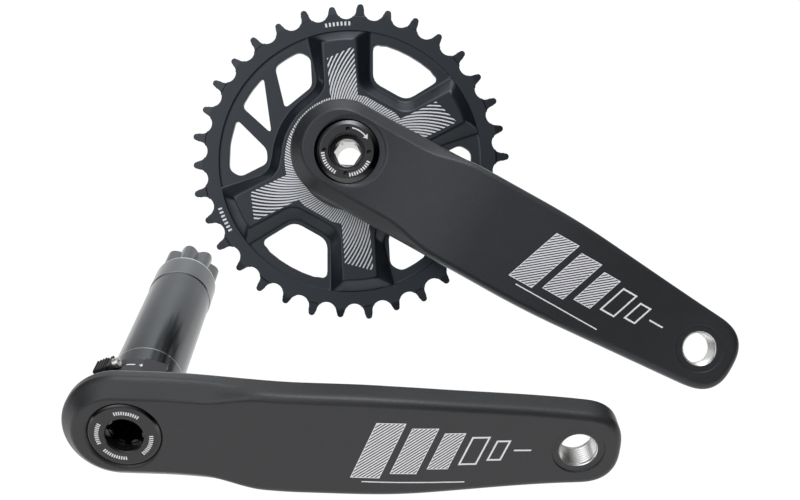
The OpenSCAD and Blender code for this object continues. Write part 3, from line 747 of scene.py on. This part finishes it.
# the star with a rounded top edge and a filleted foot, hollowed from behind
def starShape():
    s = ringSizes
    drop = s["starTop"] - s["webFront"]
    slope = math.atan2(drop, s["run"])
    tangent = math.tan(slope / 2)
    turns = [slope * i / 6 for i in range(7)]
    topAt = -s["topRound"] * tangent
    footAt = s["run"] + s["footRound"] * tangent
    profile = [
        (topAt + s["topRound"] * math.sin(t), s["starTop"] - s["topRound"] * (1 - math.cos(t)))
        for t in turns
    ]
    profile += [
        (footAt - s["footRound"] * math.sin(t), s["webFront"] + s["footRound"] * (1 - math.cos(t)))
        for t in turns[::-1]
    ]
    profile.append((footAt, s["webFront"] - s["sink"]))
    bm = loft([[(p.x, p.y, z) for p in starOutline(run / s["run"])] for run, z in profile])
    low = s["webFront"] - past
    high = s["starTop"] + past
    cuts = [rod(s["hollowR"], low, s["hubBack"]), rod(s["boreR"], low, high)]
    cuts += [rod(s["boltR"], low, high, polar(s["boltAt"], 90 + 120 * i), 32) for i in range(3)]
    inner, outer = s["pocketR"]
    corners = [polar(inner, s["pocketNear"][0]), polar(outer, s["pocketNear"][1])]
    corners += [polar(outer, s["pocketFar"][1]), polar(inner, s["pocketFar"][0])]
    pocket = []
    for i in range(4):
        pocket += bend(corners[i - 1], corners[i], corners[(i + 1) % 4], s["pocketReach"])
    for x, y in ((1, 1), (-1, 1), (1, -1), (-1, -1)):
        outline = [(p.x * x, p.y * y) for p in pocket][::x * y]
        cuts.append(prism(outline, low, s["pocketTop"]))
    return carve(bm, [], cuts)


# the CAD's ring and web with broken edges, and the star above them made afresh
def chainringShape():
    s = ringSizes
    inward, upward = s["seam"]
    star = rod(s["rimR"] - inward, s["webFront"] + upward, s["starTop"] + past, steps=256)
    web = carve(localSolid("chainring", rightFrame), [], [star])
    sharp = edgesOver(web, 30)
    outer = [edge for edge in sharp if min(edgeRadii(edge)) > s["rimR"] + s["toothClear"]]
    inner = [edge for edge in sharp if max(edgeRadii(edge)) < s["rimR"] - s["windowClear"]]
    windows = [
        edge for edge in inner
        if min(abs(face.normal.z) for face in edge.link_faces) < s["upright"]
    ]
    breakEdges(web, list(set(outer) | set(windows)), s["edge"], 2, False)
    return carve(web, [starShape()], [])


def makeChainring():
    finish = Finish("chainringBlack", IOR=1.56, Specular_Tint=(0.84, 0.92, 1.0, 1))
    u, v, w = finish.within(rightFrame)
    fine = finish.grain(0.14, 2)
    cloud = finish.grain(7, 3)
    r = radius(u, v)
    lathe = (r * ringSizes["lathe"]).math("SINE") * r.over(ringSizes["rimR"])
    ink = starPrint(u, v, w)
    black = finish.blend(cloud, (0.0070, 0.0090, 0.0130), (0.0100, 0.0125, 0.0170))
    finish.set(
        Base_Color=finish.blend(ink, black, printWhite),
        Roughness=mixed(ink, mixed(fine, 0.26, 0.36), 0.45),
        Normal=finish.bump(fine + lathe * 0.2, 0.01, 0.5),
    )
    newPiece("chainringBody", chainringShape(), rightFrame, "chainring", finish, True, 30)
    dark = Finish("ringBoltBlack", Metallic=1.0)
    rub = dark.grain(0.5, 3)
    dark.set(
        Base_Color=dark.blend(rub, (0.03, 0.03, 0.032), (0.06, 0.06, 0.062)),
        Roughness=mixed(rub, 0.3, 0.42),
    )
    brokenEdges("chainringBolts", "chainring_bolts", dark, ringSizes["boltEdge"])


# spindle and what sits on it
# the spindle's edge depths get painted highlight lines, the collar's front edge a painted highlight band, and the
# mouth's inside is painted lighter
spindleSizes = {
    "edges": (25.5, 26.4, 39.2, 120.8), "highlightHalf": 0.3, "collarAt": 106.3, "collarHighlightHalf": 0.16, "lobesAt": 121.4,
    "end": 136.5, "crestR": 13.7, "rootR": 11.0, "lobes": 8, "fullness": 0.6, "tappedR": 8.0, "edge": 0.25,
    "endRound": 0.8, "mouthEnd": 22.0, "mouthR": 9.0, "outside": 12.5, "rooted": 0.4, "clear": 0.1,
}


# the drive end with its wavy outline, in place of the CAD's plainer lobes
def spindleShape():
    s = spindleSizes
    start = -s["lobesAt"]
    end = -s["end"]
    wide = s["crestR"] + 2 * past
    tube = carve(localSolid("spindle", leftFrame), [], [rod(wide, end - past, start)])
    turns = [math.pi / 2 * i / 5 for i in range(6)]
    levels = [(s["endRound"] * (1 - math.sin(t)), end + s["endRound"] * (1 - math.cos(t))) for t in turns]
    levels.append((0, start + s["rooted"]))
    sections = []
    for inset, z in levels:
        section = []
        for i in range(360):
            a = math.radians(i)
            wave = (0.5 + 0.5 * math.cos(s["lobes"] * a)) ** s["fullness"]
            r = s["rootR"] + (s["crestR"] - s["rootR"]) * wave - inset
            section.append((r * math.cos(a), r * math.sin(a), z))
        sections.append(section)
    shape = carve(tube, [loft(sections)], [rod(s["tappedR"], end - past, start + 2 * past)])
    sharp = [edge for edge in edgesOver(shape, 30) if min(v.co.z for v in edge.verts) > start + s["clear"]]
    outer = [edge for edge in sharp if min(edgeRadii(edge)) > s["outside"]]
    breakEdges(shape, outer, s["edge"], 3)
    return shape


def makeSpindle():
    s = spindleSizes
    finish = Finish("spindleBlack", Metallic=1.0)
    u, v, w = finish.within(leftFrame)
    turning = finish.grain(0.5, 3, (0.05, 1, 0.05))
    cloud = finish.grain(12, 3)
    # thin light bands at the listed edge depths: painted highlights along the spindle's edges
    paintedHighlight = None
    for depth in s["edges"]:
        line = (w + depth).size().under(s["highlightHalf"])
        paintedHighlight = paintedHighlight.either(line) if paintedHighlight else line
    black = finish.blend(cloud, (0.085, 0.09, 0.095), (0.11, 0.115, 0.12))
    black = finish.blend(w.under(-s["collarAt"]), black, (0.135, 0.14, 0.145))
    # a light band on the collar's front edge: painted highlight
    black = finish.blend((w + s["collarAt"]).size().under(s["collarHighlightHalf"]), black, (0.34, 0.34, 0.34))
    black = finish.blend(w.under(-s["lobesAt"]), black, (0.095, 0.1, 0.104))
    # the inside of the mouth is painted lighter: painted light inside a dark hollow
    mouth = w.over(-s["mouthEnd"]) * radius(u, v).under(s["mouthR"])
    black = finish.blend(mouth, black, (0.32, 0.33, 0.35))
    finish.set(
        Base_Color=finish.blend(paintedHighlight, black, (0.7, 0.7, 0.69)),
        Roughness=mixed(turning, 0.17, 0.23),
    )
    newPiece("spindleTube", spindleShape(), leftFrame, "spindle", finish, True, 20)


# plain ticks and an arrow in place of the caps' print
capMarks = {
    "tickR": (9.4, 10.9), "tickShare": 0.55, "arrowR": 10.1, "arrowHalf": 0.25, "headDeg": 9,
    "headSlope": 0.16, "headBlunt": 0.1, "skin": 0.15, "gloss": 0.055, "glossTint": (0.96, 0.98, 1.0),
    "rimOver": 0.05, "spun": 14,
}
leftMarks = {"starts": (55, 150, 220, 310), "sweep": 55, "count": 11, "arrow": None, "rim": 1.0}
rightMarks = {"starts": (212, 305), "sweep": 62, "count": 10, "arrow": (106, 60), "rim": 2.4}


def degreesFrom(turn, start):
    return ((turn - start) / 360 + 1).math("FRACT") * 360


def dialTicks(turn, r, marks):
    shown = None
    for start in marks["starts"]:
        part = degreesFrom(turn, start)
        tick = (part * (marks["count"] / marks["sweep"])).math("FRACT").under(capMarks["tickShare"])
        tick = tick * part.under(marks["sweep"])
        shown = shown.either(tick) if shown else tick
    return shown * r.between(*capMarks["tickR"])


def dialArrow(turn, r, start, end):
    s = capMarks
    part = degreesFrom(turn, end)
    away = (r - s["arrowR"]).size()
    shaft = away.under(s["arrowHalf"]) * part.under(start - end)
    head = away.under(part * s["headSlope"] - s["headBlunt"]) * part.under(s["headDeg"])
    return shaft.either(head)


def capFinish(name, home, marks):
    s = capMarks
    finish = Finish(name, IOR=1.42, Coat_Roughness=0.08, Coat_Weight=0.25)
    u, v, w = finish.within(home)
    r = radius(u, v)
    turn = turnDegrees(u, v)
    ink = dialTicks(turn, r, marks)
    if marks["arrow"]:
        ink = ink.either(dialArrow(turn, r, *marks["arrow"]))
    ink = ink * w.over(-s["skin"])
    spun = (r * s["spun"]).math("SINE")
    fine = finish.grain(0.2, 2)
    edge = r.over(capSizes["r"] - marks["rim"] - s["rimOver"])
    black = finish.blend(fine, (0.012, 0.012, 0.013), (0.017, 0.017, 0.0185))
    black = finish.blend(edge, black, [s["gloss"] * part for part in s["glossTint"]])
    finish.set(
        Base_Color=finish.blend(ink, black, printWhite),
        Metallic=edge,
        Roughness=mixed(edge, mixed(ink, mixed(fine, 0.2, 0.3), 0.5), 0.15),
        Normal=finish.bump((spun * 0.3 + fine) * (1 - edge), 0.004, 0.4),
    )
    return finish


def makeCaps():
    black = capFinish("leftCapBlack", leftFrame, leftMarks)
    brokenEdges("leftCap", "left_cap", black, capSizes["edge"])
    black = capFinish("retainingBlack", rightFrame, rightMarks)
    brokenEdges("retainingRing", "retaining_ring", black, capSizes["edge"], 2, 20)


# a dash and a plus on the preload ring, as half sizes in degrees and millimetres
preloadMarks = {
    "level": -21.1, "dashAt": 93.5, "dash": (5.4, 0.3), "plusAt": 80.8, "bar": (2.6, 0.24),
    "stem": (0.8, 0.85), "printR": (17.8, 18.2), "edge": 0.18,
}


def makePreload():
    s = preloadMarks
    finish = Finish("preloadBlack", IOR=1.46)
    u, v, w = finish.within(leftFrame)
    fine = finish.grain(0.25, 3)
    turn = turnDegrees(u, v)
    level = (w - s["level"]).size()
    ink = None
    for at, (halfTurn, half) in ((s["dashAt"], s["dash"]), (s["plusAt"], s["bar"]), (s["plusAt"], s["stem"])):
        line = level.under(half) * (turn - at).size().under(halfTurn)
        ink = ink.either(line) if ink else line
    ink = ink * radius(u, v).between(*s["printR"])
    plastic = finish.blend(fine, (0.020, 0.020, 0.021), (0.028, 0.028, 0.029))
    finish.set(
        Base_Color=finish.blend(ink, plastic, printWhite),
        Roughness=mixed(fine, 0.4, 0.55),
        Normal=finish.bump(fine, 0.015, 0.5),
    )
    brokenEdges("preloadCollar", "preload_ring", finish, s["edge"])


smallSizes = {
    "boltBoreR": 6.0, "steelEdge": 0.15, "boltEdge": 0.2, "boltSealEdge": 0.15, "preloadSealEdge": 0.1,
}


def makeSmallPieces():
    s = smallSizes
    steel = Finish("brightSteel", Metallic=1.0)
    rub = steel.grain(0.4, 3)
    steel.set(
        Base_Color=steel.blend(rub, (0.86, 0.85, 0.82), (0.96, 0.95, 0.92)),
        Roughness=mixed(rub, 0.34, 0.42),
    )
    for name, node in (("pinchBolt", "preload_pinch_bolt"), ("boltWasher", "bolt_washer")):
        brokenEdges(name, node, steel, s["steelEdge"])
    silver = Finish("boltSilver", Metallic=1.0)
    u, v = silver.within(rightFrame)[:2]
    rub = silver.grain(0.5, 3, (1, 1, 0.3))
    bare = silver.blend(rub, (0.5, 0.49, 0.47), (0.62, 0.61, 0.59))
    inside = radius(u, v).under(s["boltBoreR"])
    silver.set(
        Base_Color=silver.blend(inside, (0.035, 0.036, 0.038), bare),
        Roughness=mixed(rub, 0.24, 0.36),
    )
    brokenEdges("crankBolt", "crank_bolt", silver, s["boltEdge"])
    rubber = Finish("sealRubber")
    pore = rubber.grain(0.3, 3)
    rubber.set(
        Base_Color=rubber.blend(pore, (0.01, 0.01, 0.01), (0.02, 0.02, 0.02)),
        Roughness=mixed(pore, 0.6, 0.8),
        Normal=rubber.bump(pore, 0.01, 0.4),
    )
    brokenEdges("boltSeal", "bolt_seal", rubber, s["boltSealEdge"])
    brokenEdges("preloadSeal", "preload_seal", rubber, s["preloadSealEdge"])


# pale studio: a floor with a bright band in front, as (depth, glow) steps, and soft lights around it,
# as (direction, tightness, power)
studioSet = {
    "floorDrop": 0.26,
    "floorSize": 9.0,
    "floor": [(-1.4, 0.2), (-0.7, 1.5), (-0.3, 0.9), (0.05, 0.98), (0.4, 1.05)],
    "lobes": [
        ((0, 1, -0.05), 8, 3.3),
        ((0, 0.6, 0.8), 12, 1.2),
        ((0, 0, 1), 6, 1.4),
        ((0, 0.04, 1), 45, 6),
        ((-0.25, -0.86, 0.46), 8, 0.56),
        ((-0.5, -0.6, 0.6), 14, 2.0),
        ((0, -1, 0), 30, 0.6),
    ],
}


def makeFloor():
    s = studioSet
    floorZ = cadBox[0].z - s["floorDrop"]
    half = s["floorSize"] / 2
    mesh = bpy.data.meshes.new("floor")
    corners = [(-half, -half, floorZ), (half, -half, floorZ), (half, half, floorZ), (-half, half, floorZ)]
    mesh.from_pydata(corners, [], [(0, 1, 2, 3)])
    floor = bpy.data.objects.new("floor", mesh)
    bpy.context.scene.collection.objects.link(floor)
    # the floor is black and glows: its emission, brighter and dimmer in bands along Y, lights the pieces and shows
    # as the backdrop
    pale = Finish("glowingFloor", Roughness=1.0, Emission_Strength=1.0, Base_Color=(0, 0, 0, 1))
    pale.set(Specular_IOR_Level=0.0)
    along = pale.add("SeparateXYZ", {}, {"Vector": pale.place()}, "Y")
    glow = s["floor"][0][1]
    for (start, low), (end, high) in zip(s["floor"], s["floor"][1:]):
        glow = along.ramp(start, end) * (high - low) + glow
    pale.set(Emission_Color=pale.add("CombineXYZ", {}, {"X": glow, "Y": glow, "Z": glow}))
    mesh.materials.append(pale.material)


def makeWorld():
    world = bpy.data.worlds.new("studio")
    bpy.context.scene.world = world
    world.use_nodes = True
    tree = world.node_tree
    coord = tree.nodes.new("ShaderNodeTexCoord")
    total = None
    for towards, tight, power in studioSet["lobes"]:
        dot = tree.nodes.new("ShaderNodeVectorMath")
        dot.operation = "DOT_PRODUCT"
        tree.links.new(coord.outputs["Generated"], dot.inputs[0])
        dot.inputs[1].default_value = Vector(towards).normalized()
        lobe = Wire(tree, dot.outputs["Value"]).math("MAXIMUM", 0.0).math("POWER", tight) * power
        total = total + lobe if total else lobe
    tree.links.new(total.socket, tree.nodes["Background"].inputs["Strength"])
    tree.nodes["Background"].inputs["Color"].default_value = (0.96, 0.975, 1.0, 1)


def makeStudio():
    makeFloor()
    makeWorld()
    bpy.context.scene.view_settings.view_transform = "Standard"
    bpy.context.scene.view_settings.look = "None"


makeCamera()
print("camera set")
makeLeftArm()
makeRightArm()
print("arms lofted")
makeThreads()
print("pedal threads wound")
makeChainring()
print("chainring dressed")
makeSpindle()
makeCaps()
makePreload()
makeSmallPieces()
print("spindle, caps, preload ring and bolts dressed")
makeStudio()
print("studio lit")
